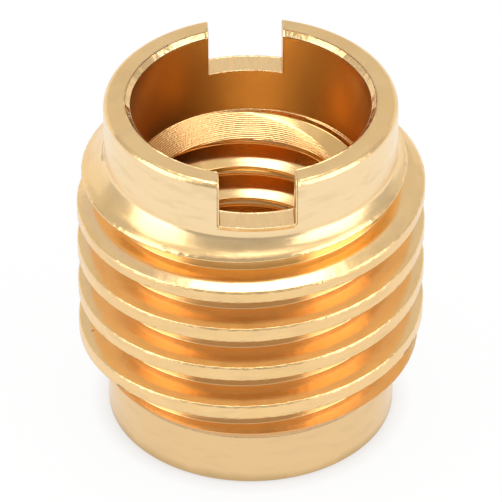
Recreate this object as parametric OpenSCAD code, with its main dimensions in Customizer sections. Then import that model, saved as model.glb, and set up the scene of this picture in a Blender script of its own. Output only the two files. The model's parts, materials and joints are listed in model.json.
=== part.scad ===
// Threaded insert: a brass bush turned from bar in one piece.
// Outside it has a coarse knife thread that cuts its own way into wood, between
// a plain pilot below and a slotted neck above. Inside, a fine machine thread
// runs through below a counterbore and its countersink. It can be cut in full,
// or left as its core hole, which keeps a true cylinder to fit a screw to.
// Frame: +Z runs up the axis, the origin is the centre of the lower face, and
// the driving slot runs along Y. All sizes are in millimetres.

/* [Overall] */
// Height from the pilot's lower face to the rim
overall_h = 14.9; // [12.4:0.1:24]
// Diameter over the crests of the outer thread
crest_d = 14; // [13.2:0.1:22]

/* [Pilot and lead-in] */
// Height of the plain pilot that centres the insert in its hole
pilot_h = 2.38; // [1:0.02:3]
// How far the pilot's wall lies inside the outer thread's root
pilot_relief = 0.1; // [0.03:0.01:0.3]
// Height of the cone from the pilot out to the crests
lead_in_h = 1.25; // [0.6:0.01:2]
// Width of the broken edge round the lower face
pilot_edge = 0.1; // [0.05:0.05:0.6]

/* [Neck and rim] */
// Height of the plain neck above the shoulder cone
neck_h = 2.39; // [1.5:0.01:3.5]
// How far the neck's wall lies inside the outer thread's root
neck_relief = 0.04; // [0.03:0.01:0.3]
// Height of the shoulder cone from the crests in to the neck
shoulder_h = 1.48; // [0.8:0.01:2.5]
// Radius of the rim's outer edge
rim_round = 0.3; // [0.1:0.05:0.5]
// Width of the chamfer round the counterbore's mouth
rim_chamfer = 0.2; // [0.05:0.05:0.35]

/* [Outer thread] */
// Rise of the outer thread in one turn
knife_pitch = 1.94; // [1.6:0.01:2.6]
// Depth of the groove below the crests
knife_depth = 1.08; // [0.8:0.01:1.3]
// Width of each crest, before its upper edge is rounded
knife_land = 0.71; // [0.55:0.01:0.9]
// Lean of each flank of the groove from square to the axis
knife_flank_angle = 15; // [5:1:18]
// Radius of the groove's two root corners
knife_root_round = 0.08; // [0.05:0.01:0.3]
// Radius of each crest's upper edge, where the turning tool has eased it
knife_crest_round = 0.44; // [0.1:0.01:0.5]
// Height at which the middle of a groove passes over the -Y side
knife_front_h = 5.598; // [4:0.001:8]

/* [Machine thread] */
// Whether the thread is cut, or left as the core hole that the tap starts from
cut_machine_thread = false; // [false, true]
// Major diameter of the tapped thread
tap_major_d = 9.525; // [8:0.005:9.7]
// Minor diameter of the tapped thread, which is the core hole's
tap_minor_d = 7.8; // [6.4:0.05:8.5]
// Rise of the tapped thread in one turn
tap_pitch = 1.5875; // [1.25:0.0005:1.8]
// Width of the flat left at the tapped thread's major diameter
tap_root_flat = 0.198; // [0.1:0.001:0.25]
// Width of the chamfer where the tapped hole leaves the lower face
tap_exit_chamfer = 0.5; // [0.2:0.05:0.8]
// Height at which the middle of a tapped groove passes over the +Y side
tap_back_h = 7.8; // [6:0.01:9]

/* [Counterbore and slot] */
// Radial clearance of the counterbore round the machine screw
counterbore_clearance = 0.05; // [0.02:0.01:0.2]
// Depth of the counterbore's straight wall below the rim
counterbore_depth = 3.91; // [2.5:0.01:5]
// Width of the driving slot across the neck
slot_w = 3; // [2:0.1:4.5]
// Depth of the driving slot below the rim
slot_depth = 2; // [1:0.1:2.8]

/* [Hidden] */

// Facets in a full turn of the round surfaces and of each thread
$fn = 120;
knife_steps = 60;
tap_steps = 48;
// How far a cutting shape runs past the surface that it opens
overrun = 1;

crest_r = crest_d / 2;
knife_root_r = crest_r - knife_depth;
pilot_r = knife_root_r - pilot_relief;
neck_r = knife_root_r - neck_relief;
shoulder_low_z = overall_h - neck_h - shoulder_h;
neck_low_z = overall_h - neck_h;

tap_major_r = tap_major_d / 2;
tap_minor_r = tap_minor_d / 2;
counterbore_r = tap_major_r + counterbore_clearance;
counterbore_z = overall_h - counterbore_depth;
// The countersink leans 45 degrees, so it is as deep as it is wide.
countersink_z = counterbore_z - (counterbore_r - tap_minor_r);

// Points along an arc, from angle a to angle b in the given number of steps
function arc_points(centre, r, a, b, steps) = [
  for (i = [0:steps])
    let (angle = a + (b - a) * i / steps)
    centre + r * [cos(angle), sin(angle)]
];

// Half the width of the knife thread's groove at radius r, before its root
// corners are rounded
function knife_half_w(r) =
  (knife_pitch - knife_land) / 2 - (crest_r - r) * tan(knife_flank_angle);

// Section of the knife thread's groove as [radius, height above its middle],
// from below, round the root, to above. Below, the round of the crest's edge
// ends in a straight run that leaves the crest at a clear angle. Both ends lie
// just past the crests, in free air.
function knife_section() =
  let (
    outer_r = crest_r + overrun / 10,
    bend = 90 - knife_flank_angle,
    leave = 30,
    edge_r = crest_r - knife_crest_round,
    edge_z = knife_half_w(crest_r) + knife_crest_round * tan(bend / 2),
    start_r = edge_r + knife_crest_round * cos(leave),
    start_z = edge_z - knife_crest_round * sin(leave) + (outer_r - start_r) / tan(leave),
    corner_r = knife_root_r + knife_root_round,
    corner_z = knife_half_w(knife_root_r) - knife_root_round * tan(bend / 2)
  )
  concat(
    [[outer_r, -start_z]],
    arc_points([edge_r, -edge_z], knife_crest_round, leave, bend, 2),
    arc_points([corner_r, -corner_z], knife_root_round, 180 + bend, 180, 1),
    arc_points([corner_r, corner_z], knife_root_round, 180, 180 - bend, 1),
    [[outer_r, knife_half_w(outer_r)]]
  );

// Half the width of the tapped groove at radius r, on its 30 degree flanks
function tap_half_w(r) = tap_root_flat / 2 + (tap_major_r - r) * tan(30);

// Section of the tapped groove as [radius, height above its middle]. It starts
// inside the core hole, in free air.
function tap_section() =
  let (inner_r = tap_minor_r - overrun / 5)
  [
    [inner_r, tap_half_w(inner_r)],
    [tap_major_r, tap_root_flat / 2],
    [tap_major_r, -tap_root_flat / 2],
    [inner_r, -tap_half_w(inner_r)],
  ];

// A closed section carried up a right-hand helix from z_low to z_high. The
// helix passes through height z_mark at the angle mark_angle.
module helix_sweep(section, pitch, steps_per_turn, z_low, z_high, z_mark, mark_angle) {
  count = len(section);
  steps = ceil((z_high - z_low) / pitch * steps_per_turn);
  points = [
    for (i = [0:steps])
      let (z = z_low + (z_high - z_low) * i / steps)
      let (angle = mark_angle + 360 * (z - z_mark) / pitch)
      for (p = section)
        [p[0] * cos(angle), p[0] * sin(angle), z + p[1]]
  ];
  walls = [
    for (i = [0:steps - 1], j = [0:count - 1])
      let (a = i * count + j, b = i * count + (j + 1) % count)
      each [[a, b + count, b], [a, a + count, b + count]]
  ];
  low_cap = [for (j = [0:count - 1]) j];
  high_cap = [for (j = [count - 1:-1:0]) steps * count + j];
  polyhedron(points, concat([low_cap, high_cap], walls));
}

// Half section of the outside as the lathe leaves it before threading
module blank_section() {
  difference() {
    polygon([
      [0, 0],
      [pilot_r - pilot_edge, 0],
      [pilot_r, pilot_edge],
      [pilot_r, pilot_h],
      [crest_r, pilot_h + lead_in_h],
      [crest_r, shoulder_low_z],
      [neck_r, neck_low_z],
      [neck_r, overall_h],
      [0, overall_h],
    ]);
    translate([neck_r - rim_round, overall_h - rim_round])
      difference() {
        square(rim_round + overrun);
        circle(rim_round);
      }
  }
}

// Core hole, its exit chamfer, countersink, counterbore and mouth chamfer
module hole() {
  mouth_r = counterbore_r + rim_chamfer;
  exit_r = tap_minor_r + tap_exit_chamfer;
  rotate_extrude()
    polygon([
      [0, -overrun],
      [exit_r + overrun, -overrun],
      [tap_minor_r, tap_exit_chamfer],
      [tap_minor_r, countersink_z],
      [counterbore_r, counterbore_z],
      [counterbore_r, overall_h - rim_chamfer],
      [mouth_r + overrun, overall_h + overrun],
      [0, overall_h + overrun],
    ]);
}

// The groove that leaves the knife thread standing. It fades out by itself on
// the lead-in below and on the shoulder above, which both end inside its root.
module knife_groove() {
  helix_sweep(
    knife_section(), knife_pitch, knife_steps,
    pilot_h - knife_pitch / 2, neck_low_z + knife_pitch / 2, knife_front_h, -90
  );
}

// The tapped groove, from below the lower face up into the counterbore
module tap_groove() {
  helix_sweep(
    tap_section(), tap_pitch, tap_steps,
    -tap_pitch, counterbore_z + tap_pitch, tap_back_h, 90
  );
}

// The driving slot, open through both sides of the neck
module driving_slot() {
  slot_l = crest_d + 2 * overrun;
  translate([-slot_w / 2, -slot_l / 2, overall_h - slot_depth])
    cube([slot_w, slot_l, slot_depth + overrun]);
}

module threaded_insert() {
  color([0.80, 0.62, 0.36])
    difference() {
      rotate_extrude()
        blank_section();
      hole();
      driving_slot();
      knife_groove();
      if (cut_machine_thread) tap_groove();
    }
}

threaded_insert();
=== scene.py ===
"""A turned brass threaded insert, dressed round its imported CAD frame.

The whole insert is one closed surface. Its threads are spiral bands of rows
that run round the axis, and the rest are rings of rows that share the bands'
columns. Lengths are in millimetres until a mesh is made, and then in metres.
"""

import json
import logging
import math
from dataclasses import dataclass, field
from enum import Enum

import bpy
import numpy as np
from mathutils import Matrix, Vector

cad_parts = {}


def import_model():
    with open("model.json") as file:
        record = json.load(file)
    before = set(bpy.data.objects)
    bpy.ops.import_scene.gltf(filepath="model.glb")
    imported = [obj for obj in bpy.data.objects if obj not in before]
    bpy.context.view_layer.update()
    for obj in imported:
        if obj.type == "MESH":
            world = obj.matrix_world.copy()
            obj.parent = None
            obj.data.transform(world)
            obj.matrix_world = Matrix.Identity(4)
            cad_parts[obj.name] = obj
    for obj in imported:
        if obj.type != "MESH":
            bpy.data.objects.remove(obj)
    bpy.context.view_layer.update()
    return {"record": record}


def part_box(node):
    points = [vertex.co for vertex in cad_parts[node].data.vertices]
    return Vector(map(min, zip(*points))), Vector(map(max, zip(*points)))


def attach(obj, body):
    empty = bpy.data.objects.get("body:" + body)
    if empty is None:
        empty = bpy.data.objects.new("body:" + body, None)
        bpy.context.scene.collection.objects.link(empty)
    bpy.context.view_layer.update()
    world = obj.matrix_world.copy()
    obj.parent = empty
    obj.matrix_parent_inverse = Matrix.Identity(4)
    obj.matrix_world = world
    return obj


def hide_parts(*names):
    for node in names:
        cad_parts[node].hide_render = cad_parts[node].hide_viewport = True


LOG = logging.getLogger("threaded_insert")
MM = 0.001
TURN = 2 * math.pi
NODE = "threaded_insert"
Array = np.ndarray
Socket = bpy.types.NodeSocket
Value = Socket | float | tuple | Vector
Span = tuple[float, float]
Place = tuple[float, float, float]
Rgba = tuple[float, float, float, float]
# First and last value of a step that falls.
FALL: Span = (1.0, 0.0)
# Attribute of the mesh that is 1 on a sharp outward edge and 0 on a flat.
EDGE_ATTRIBUTE = "outward_edge"
# Points whose places round to the same multiples of this, in millimetres, are merged.
MERGE = 1e-5
# Least divisors, in place of a length, a squared length or a normal of zero.
LEAST_LENGTH, LEAST_SQUARE, LEAST_NORMAL = 1e-9, 1e-8, 1e-12
# Rows round a fillet or the rim's outer edge, and points of a small rounding.
ARC_ROWS = 8
BEND_POINTS = 3
# The most that a rounding takes of a side that it shares with the next one.
SIDE_SHARE = 0.45
# Number of halvings that find where a groove meets the plain form.
HALVINGS = 40


class Zone(Enum):
    """Parts of the surface with a finish of their own. The value is the material's index."""

    OUTSIDE = 0
    BORE = 1
    SLOT = 2


def clamp(value: Array, low: Array | float, high: Array | float) -> Array:
    """Returns value held between low and high."""
    return np.minimum(np.maximum(value, low), high)


def rise(lean: float) -> float:
    """Radius that a flank gains in a millimetre of height, from its lean off square in degrees."""
    return 1 / math.tan(math.radians(lean))


def upright(radius: float, heights: list[float] | Array) -> Array:
    """Radii and heights of the rows of a plain wall, [rows, 2]."""
    return np.array([[radius, z] for z in heights])


def around(radius: Array, angle: Array, z: Array) -> Array:
    """Points from their radii, angles and heights, [..., 3]."""
    return np.stack([radius * np.cos(angle), radius * np.sin(angle), z], -1)


def round_corner(
    before: Array,
    corner: Array,
    after: Array,
    reach: Array | float,
    count: int,
    shares: Span = (SIDE_SHARE, SIDE_SHARE),
) -> Array:
    """Rounds corners of many outlines at once.

    Each rounding is a quadratic curve: it leaves the side before the corner at
    the reach from it, is pulled to the corner, and joins the side after it at
    the same reach.

    Args:
        before: the point before each corner, [..., 2].
        corner: each corner, [..., 2].
        after: the point after each corner, [..., 2].
        reach: how far from the corner its rounding starts.
        count: points in each rounding.
        shares: the most that the reach may be of each of the two sides.

    Returns:
        The points of each rounding, [..., count, 2].
    """
    back, ahead = before - corner, after - corner
    back_length = np.linalg.norm(back, axis=-1, keepdims=True)
    ahead_length = np.linalg.norm(ahead, axis=-1, keepdims=True)
    used = np.minimum(reach, np.minimum(shares[0] * back_length, shares[1] * ahead_length))
    start = corner + back / np.maximum(back_length, LEAST_LENGTH) * used
    end = corner + ahead / np.maximum(ahead_length, LEAST_LENGTH) * used
    t = np.linspace(0.0, 1.0, count)[:, None]
    start, mid, end = (p[..., None, :] for p in (start, corner, end))
    return (1 - t) ** 2 * start + 2 * t * (1 - t) * mid + t**2 * end


def round_path(corners: Array, reach: float) -> Array:
    """Rounds all corners of one path but its two ends, which it leaves out."""
    bends = round_corner(corners[:-2], corners[1:-1], corners[2:], reach, BEND_POINTS)
    return bends.reshape(-1, 2)


def smooth_noise(angle: Array, waves: int, seed: int) -> Array:
    """Smooth random values along an angle that runs over many turns.

    The value is a sum of sines over the root of their number. Their waves a
    turn are drawn once from the seed, from about half that number to 1.7
    times it, and aren't whole, so that no two turns are alike.

    Args:
        angle: angle in radians.
        waves: number of sines.
        seed: seed of the draw.

    Returns:
        Values about 0 whose mean square is a half, shaped as the angle.
    """
    lowest, highest, spread = 0.3, 1.0, 1.7
    draw = np.random.default_rng(seed)
    rates = draw.uniform(lowest, highest, waves) * waves * spread
    phases = draw.uniform(0, TURN, waves)
    total = np.zeros_like(angle)
    for rate, phase in zip(rates, phases):
        total += np.sin(rate * angle + phase)
    return total / math.sqrt(waves)


def outward_edge(points: Array, normals: Array, sides: Array) -> Array:
    """How sharply a surface turns outwards at each of its points.

    Along each side of a face the turn is the change of the normal times the
    step between the points, over the step squared. A point's value is the
    mean of its sides' turns, where an inward one counts as none and a very
    sharp one as the most, over the turn that counts as full.

    Args:
        points: the points, [points, 3].
        normals: their normals.
        sides: pairs of points, [sides, 2].

    Returns:
        Values from 0 to 1, [points].
    """
    full, most = 7.0, 40.0
    step = points[sides[:, 1]] - points[sides[:, 0]]
    change = normals[sides[:, 1]] - normals[sides[:, 0]]
    square = np.maximum((step**2).sum(axis=1), LEAST_SQUARE)
    turn = clamp((change * step).sum(axis=1) / square, 0.0, most)
    total, count = np.zeros(len(points)), np.zeros(len(points))
    for end in range(2):
        np.add.at(total, sides[:, end], turn)
        np.add.at(count, sides[:, end], 1.0)
    return clamp(total / np.maximum(count, 1.0) / full, 0.0, 1.0)


@dataclass(frozen=True)
class Limits:
    """The plain turned form that a thread is cut into, as heights and signed radii.

    A signed radius is the radius outside and its negative in a bore, so metal
    always lies below it. The form is a crest cylinder between two cones, and
    each cone ends at a plain wall. A fillet may join the upper two.
    """

    crest: float
    low_z: float
    high_z: float
    low_slope: float
    high_slope: float
    low_wall: float
    high_wall: float
    fillet: float = 0.0

    @property
    def low_end(self) -> float:
        """Height where the lower cone meets its wall."""
        return self.low_z - (self.crest - self.low_wall) / self.low_slope

    @property
    def high_end(self) -> float:
        """Height where the upper cone meets its wall."""
        return self.high_z + (self.crest - self.high_wall) / self.high_slope

    @property
    def fillet_span(self) -> Span:
        """Heights where the fillet between the upper cone and its wall starts and ends.

        The fillet turns by the angle between the two. It ends its radius times
        the tangent of half that angle past the corner, and starts its radius
        times the angle's sine below that.

        Returns:
            The lower height and the upper one.
        """
        turn = math.atan(self.high_slope)
        top = self.high_end + self.fillet * math.tan(turn / 2)
        return top - self.fillet * math.sin(turn), top

    def form(self, z: Array) -> Array:
        """Height of the plain form's surface over the axis.

        The crest less each cone's slope times the distance past its end, and
        no less than the plain wall at that end. The fillet is the wall plus
        the circle's radius less the root of that radius squared less the
        distance below its top squared.

        Args:
            z: heights.

        Returns:
            Signed radii, shaped as z.
        """
        below = np.maximum(self.low_z - z, 0.0) * self.low_slope
        above = np.maximum(z - self.high_z, 0.0) * self.high_slope
        middle = (self.low_z + self.high_z) / 2
        wall = np.where(z < middle, self.low_wall, self.high_wall)
        radius = np.maximum(self.crest - below - above, wall)
        if self.fillet:
            start, top = self.fillet_span
            down = clamp(top - z, 0.0, top - start)
            arc = self.high_wall + self.fillet - np.sqrt(self.fillet**2 - down**2)
            radius = np.where(z > start, np.maximum(arc, radius), radius)
        return radius

    def rings(self, reach: float) -> list[float]:
        """Heights of the rows that hold the form's edges.

        Args:
            reach: how far to either side of each edge its rows are.

        Returns:
            The heights. A fillet's rows lie evenly round it.
        """
        edges = [self.low_end, self.low_z, self.high_z]
        if not self.fillet:
            edges.append(self.high_end)
        heights = [edge + side for edge in edges for side in (-reach, reach)]
        if self.fillet:
            start, top = self.fillet_span
            turn = np.linspace(math.asin((top - start) / self.fillet), 0.0, ARC_ROWS)
            heights += [float(h) for h in top - self.fillet * np.sin(turn)]
        return heights


@dataclass(frozen=True)
class Rounding:
    """How far a rounding reaches from its corner, and the number of its points."""

    reach: float = 0.0
    points: int = 2


@dataclass(frozen=True)
class Groove:
    """Section and place of one helical groove, in signed radii.

    The section is a flat root with two straight flanks, and the lower flank
    may end in a bevel from the radius bevel_from out. The root's middle is at
    mark_z where its angle is mark_angle. Where last_bevel_rise is given, the
    bevel changes to the last one between the heights last_z.
    """

    pitch: float
    root: float
    root_half: float
    lower_rise: float
    upper_rise: float
    bevel_from: float
    bevel_rise: float
    mark_z: float
    mark_angle: float
    root_edge: Rounding
    lower_edge: Rounding
    upper_edge: Rounding
    bevel_edge: Rounding = Rounding()
    last_z: Span = (0.0, 1.0)
    last_bevel_from: float = 0.0
    last_bevel_rise: float = 0.0

    def bevel(self, centre: Array) -> tuple[Array, Array, Array]:
        """Where the bevel starts and how it rises.

        Args:
            centre: heights of the root's middles.

        Returns:
            The bevel's first radius, how far below the root's lower end that
            is, and its rise.
        """
        low, high = self.last_z
        share = clamp((centre - low) / (high - low), 0.0, 1.0)
        if not self.last_bevel_rise:
            share = np.zeros_like(centre)
        start = self.bevel_from + (self.last_bevel_from - self.bevel_from) * share
        slope = self.bevel_rise + (self.last_bevel_rise - self.bevel_rise) * share
        return start, (start - self.root) / self.lower_rise, slope

    def section(self, z: Array | float, centre: Array) -> Array:
        """Section's radius at heights.

        The root, plus a flank's rise times the distance past the root's end on
        that flank's side. Where the bevel is lower than the lower flank, it is
        the bevel: its start plus its own rise times the distance past it.

        Args:
            z: heights.
            centre: heights of the root's middles.

        Returns:
            Signed radii, shaped as z.
        """
        down = np.maximum(centre - z - self.root_half, 0.0)
        up = np.maximum(z - centre - self.root_half, 0.0)
        start, away, slope = self.bevel(centre)
        bevel = start + (down - away) * slope
        lower = np.minimum(self.root + down * self.lower_rise, np.maximum(bevel, self.root))
        return lower + up * self.upper_rise


@dataclass(frozen=True)
class Ragged:
    """How far a thread's lower and upper crest edges stray, in millimetres.

    Where the groove breaks out through the upper cone, the metal is thrown up
    into a lip of the given rise and span, whose rounding reaches further. It
    grows over the height lip_start past the cone's foot, and goes over the
    last lip_end of radius before the wall. The flare has the rows on its far
    side, as shares of the way down it.
    """

    lower: float = 0.0
    upper: float = 0.0
    lower_waves: int = 60
    upper_waves: int = 75
    seed: int = 1
    lip_rise: float = 0.0
    lip_reach: float = 0.0
    lip_span: float = 0.0
    lip_start: float = 0.15
    lip_end: float = 0.3
    flare: tuple[float, ...] = (0.35, 0.5, 0.65, 0.8)


@dataclass(frozen=True)
class ThreadBand:
    """A thread between two heights, as rows that spiral round the axis.

    Every turn of the groove has the same rows: the rounded edge of the crest
    below it, the corner of its bevel, its two root corners, the rounded edge
    of the crest above it, and rows on the land there, on the lip's flare and
    at the plain form's edges. Rows that would leave the band, or that the
    plain form leaves no room for, are held at one point and merged later.

    The rows on a land start at least the support from its edges, but take no
    more than below_share and above_share of it. The plain form's edges have
    rows at edge_reach to either side.
    """

    limits: Limits
    groove: Groove
    low: float
    high: float
    sign: int
    ragged: Ragged = Ragged()
    support: float = 0.08
    below_share: float = 0.5
    above_share: float = 0.4
    edge_reach: float = 0.03
    spare_turns: float = 1.6

    def centres(self, angle: Array) -> Array:
        """Heights of the groove's middles.

        The first is more than the spare turns below the band, and each
        column's rise by the pitch times its share of a turn.

        Args:
            angle: the columns' angles in radians, rising from the first.

        Returns:
            Heights, [columns, turns].
        """
        g = self.groove
        start = g.mark_z + g.pitch * (angle[0] - g.mark_angle) / TURN
        first = start - g.pitch * math.ceil((start - self.low) / g.pitch + self.spare_turns)
        turns = math.ceil((self.high - first) / g.pitch + self.spare_turns)
        along = g.pitch * (angle - angle[0]) / TURN
        return first + along[:, None] + g.pitch * np.arange(turns + 1)[None, :]

    def mouths(self, centre: Array) -> tuple[Array, Array, Array]:
        """Where the groove's section crosses the plain form.

        The gap between the two only grows to either side of its lowest corner,
        so that corner is found first and each side is halved until it is zero.

        Args:
            centre: heights of the groove's middles.

        Returns:
            Lower crossing, upper crossing, and whether the groove is open.
        """
        g, f = self.groove, self.limits
        corners = np.stack([
            centre - g.root_half,
            centre + g.root_half,
            np.full_like(centre, f.low_z),
            np.full_like(centre, f.high_z),
        ])
        gaps = g.section(corners, centre) - f.form(corners)
        best = np.take_along_axis(corners, gaps.argmin(0)[None], 0)[0]
        is_open = gaps.min(0) < 0
        found = []
        for far in (centre - g.pitch, centre + g.pitch):
            inside, outside = best.copy(), far.copy()
            for _ in range(HALVINGS):
                middle = (inside + outside) / 2
                cut = g.section(middle, centre) < f.form(middle)
                inside = np.where(cut, middle, inside)
                outside = np.where(cut, outside, middle)
            found.append(np.where(is_open, inside, best))
        return found[0], found[1], is_open

    def on_form(self, z: Array) -> Array:
        """Points of the plain form at heights, [..., (height, radius)]."""
        return np.stack([z, self.limits.form(z)], axis=-1)

    def flare(self, upper: Array, above: Array, lip: Array) -> list[Array]:
        """Rows on the land where a lip sinks back into the plain form.

        The lip goes as a smooth step: 1 less t squared times 3 less 2 t.

        Args:
            upper: heights of the lip's edge.
            above: heights where it has gone.
            lip: how far it stands up.

        Returns:
            Points as [columns, turns, 1, (height, radius)] of each row.
        """
        rows = []
        for t in self.ragged.flare if self.ragged.lip_rise else ():
            row = self.on_form(upper + (above - upper) * t)
            row[..., 1] += lip * (1 - t * t * (3 - 2 * t))
            rows.append(row[:, :-1, None, :])
        return rows

    def hold(self, grid: Array, centre: Array) -> None:
        """Moves the rows that have left the band to its two ends.

        Args:
            grid: points as [columns, rows, (height, radius)], changed in place.
            centre: heights of the groove's middles.
        """
        ends = ((self.low, grid[..., 0] < self.low), (self.high, grid[..., 0] > self.high))
        for end, past in ends:
            cut = self.groove.section(end, centre).min(axis=1)
            at_end = np.minimum(cut, self.limits.form(np.full(len(grid), end)))
            grid[..., 1] = np.where(past, at_end[:, None], grid[..., 1])
            grid[..., 0] = np.where(past, end, grid[..., 0])

    def rows(self, angle: Array) -> tuple[Array, int]:
        """Heights and radii of every row at every column.

        Args:
            angle: the columns' angles in radians, rising from the first.

        Returns:
            Points as [columns, rows, (height, radius)], and the rows in a turn.
        """
        g, f, ragged = self.groove, self.limits, self.ragged
        centre = self.centres(angle)
        lower, upper, is_open = self.mouths(centre)
        land = np.maximum(lower[:, 1:] - upper[:, :-1], 0.0)
        land_below = np.concatenate([land[:, :1], land], axis=1)
        land_above = np.concatenate([land, land[:, -1:]], axis=1)
        past_foot = clamp((upper - f.high_z) / ragged.lip_start, 0.0, 1.0)
        before_wall = clamp((f.form(upper) - f.high_wall) / ragged.lip_end, 0.0, 1.0)
        on_cone = past_foot * before_wall
        lower_span = max(self.support, g.lower_edge.reach)
        upper_span = max(self.support, g.upper_edge.reach) + on_cone * ragged.lip_span
        below = lower - np.minimum(lower_span, self.below_share * land_below)
        above = upper + np.minimum(upper_span, self.above_share * land_above)

        def in_groove(z: Array) -> Array:
            """Points of the groove at heights, held between its crossings."""
            held = clamp(z, lower, upper)
            return np.stack([held, np.where(is_open, g.section(held, centre), f.form(held))], -1)

        def strays(waves: int, seed: int) -> Array:
            """Smooth noise along the thread."""
            turned = angle[:, None] + TURN * np.arange(centre.shape[1])[None, :]
            return smooth_noise(turned, waves, seed)

        cuts = np.where(is_open & (upper - lower > 2 * g.root_half), 1.0, 0.0)
        lip = cuts * on_cone * ragged.lip_rise
        low_edge, high_edge = self.on_form(lower), self.on_form(upper)
        low_edge[..., 1] += cuts * ragged.lower * strays(ragged.lower_waves, ragged.seed)
        high_edge[..., 1] += cuts * ragged.upper * strays(ragged.upper_waves, ragged.seed + 1)
        high_edge[..., 1] += lip
        bevel = in_groove(centre - g.root_half - g.bevel(centre)[1])
        low_root, high_root = in_groove(centre - g.root_half), in_groove(centre + g.root_half)
        path = [self.on_form(below), low_edge, bevel, low_root, high_root, high_edge]
        path.append(self.on_form(above))
        upper_reach = g.upper_edge.reach + (on_cone * ragged.lip_reach)[..., None]
        roundings = (
            (g.lower_edge.reach, g.lower_edge.points, (1.0, SIDE_SHARE)),
            (g.bevel_edge.reach, g.bevel_edge.points),
            (g.root_edge.reach, g.root_edge.points),
            (g.root_edge.reach, g.root_edge.points),
            (upper_reach, g.upper_edge.points, (SIDE_SHARE, 1.0)),
        )
        parts = [
            round_corner(*path[index : index + 3], *rounding)[:, :-1]
            for index, rounding in enumerate(roundings)
        ]
        parts += self.flare(upper, above, lip)
        for height in f.rings(self.edge_reach):
            z = clamp(np.full_like(land, height), above[:, :-1], below[:, 1:])
            parts.append(self.on_form(z)[:, :, None, :])
        grid = np.concatenate(parts, axis=2)
        per_turn = grid.shape[2]
        grid = grid.reshape(len(angle), -1, 2)
        self.hold(grid, centre)
        grid[..., 1] *= self.sign
        return grid, per_turn


@dataclass(frozen=True)
class InsertSizes:
    """Sizes of the insert in millimetres and degrees. The overall ones come from the frame."""

    height: float
    crest_r: float
    bore_r: float
    counterbore_r: float
    pilot_r: float
    slot_half: float = 1.5
    slot_depth: float = 2.0
    pilot_h: float = 2.38
    lead_in_h: float = 1.25
    pilot_edge: float = 0.1
    neck_h: float = 2.34
    shoulder_h: float = 1.52
    shoulder_slope: float = 0.8
    neck_relief: float = 0.04
    knife_pitch: float = 1.94
    knife_depth: float = 1.08
    knife_land: float = 0.62
    knife_bevel: float = 0.337
    knife_bevel_degrees: float = 17.0
    knife_last_bevel: float = 0.48
    knife_last_bevel_degrees: float = 26.0
    knife_last_bevel_z: Span = (9.6, 10.6)
    knife_lower_degrees: float = 9.4
    knife_upper_degrees: float = 27.8
    knife_front_z: float = 5.36
    tap_pitch: float = 1.5875
    tap_major_r: float = 4.7625
    tap_root_flat: float = 0.198
    tap_flank_degrees: float = 31.5
    tap_back_z: float = 7.8
    tap_exit_chamfer: float = 0.5
    counterbore_depth: float = 3.91
    rim_round: float = 0.3
    rim_chamfer: float = 0.2

    @staticmethod
    def from_frame(record: dict) -> "InsertSizes":
        """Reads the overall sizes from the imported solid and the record's mounts.

        Args:
            record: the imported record.

        Returns:
            The insert's sizes.
        """
        low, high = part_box(NODE)
        radius = {m["name"]: m["dims"].get("r_mm", 0.0) for m in record["mounts"]}
        return InsertSizes(
            height=(high.z - low.z) / MM,
            crest_r=(high.x - low.x) / 2 / MM,
            bore_r=radius["machine_thread"],
            counterbore_r=radius["counterbore"],
            pilot_r=radius["pilot"],
        )

    @property
    def root_r(self) -> float:
        """Radius at the knife thread's root."""
        return self.crest_r - self.knife_depth

    @property
    def neck_r(self) -> float:
        """Radius of the plain neck."""
        return self.root_r - self.neck_relief

    @property
    def shoulder_fillet(self) -> float:
        """Radius of the fillet that joins the shoulder cone to the neck."""
        # The shoulder's height less the cone's own, over the tangent of half the
        # angle between the cone and the neck.
        cone_h = (self.crest_r - self.neck_r) / self.shoulder_slope
        return (self.shoulder_h - cone_h) / math.tan(math.atan(self.shoulder_slope) / 2)

    @property
    def counterbore_z(self) -> float:
        """Height of the counterbore's lower end."""
        return self.height - self.counterbore_depth

    @property
    def slot_floor_z(self) -> float:
        """Height of the slot's floor."""
        return self.height - self.slot_depth


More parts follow.
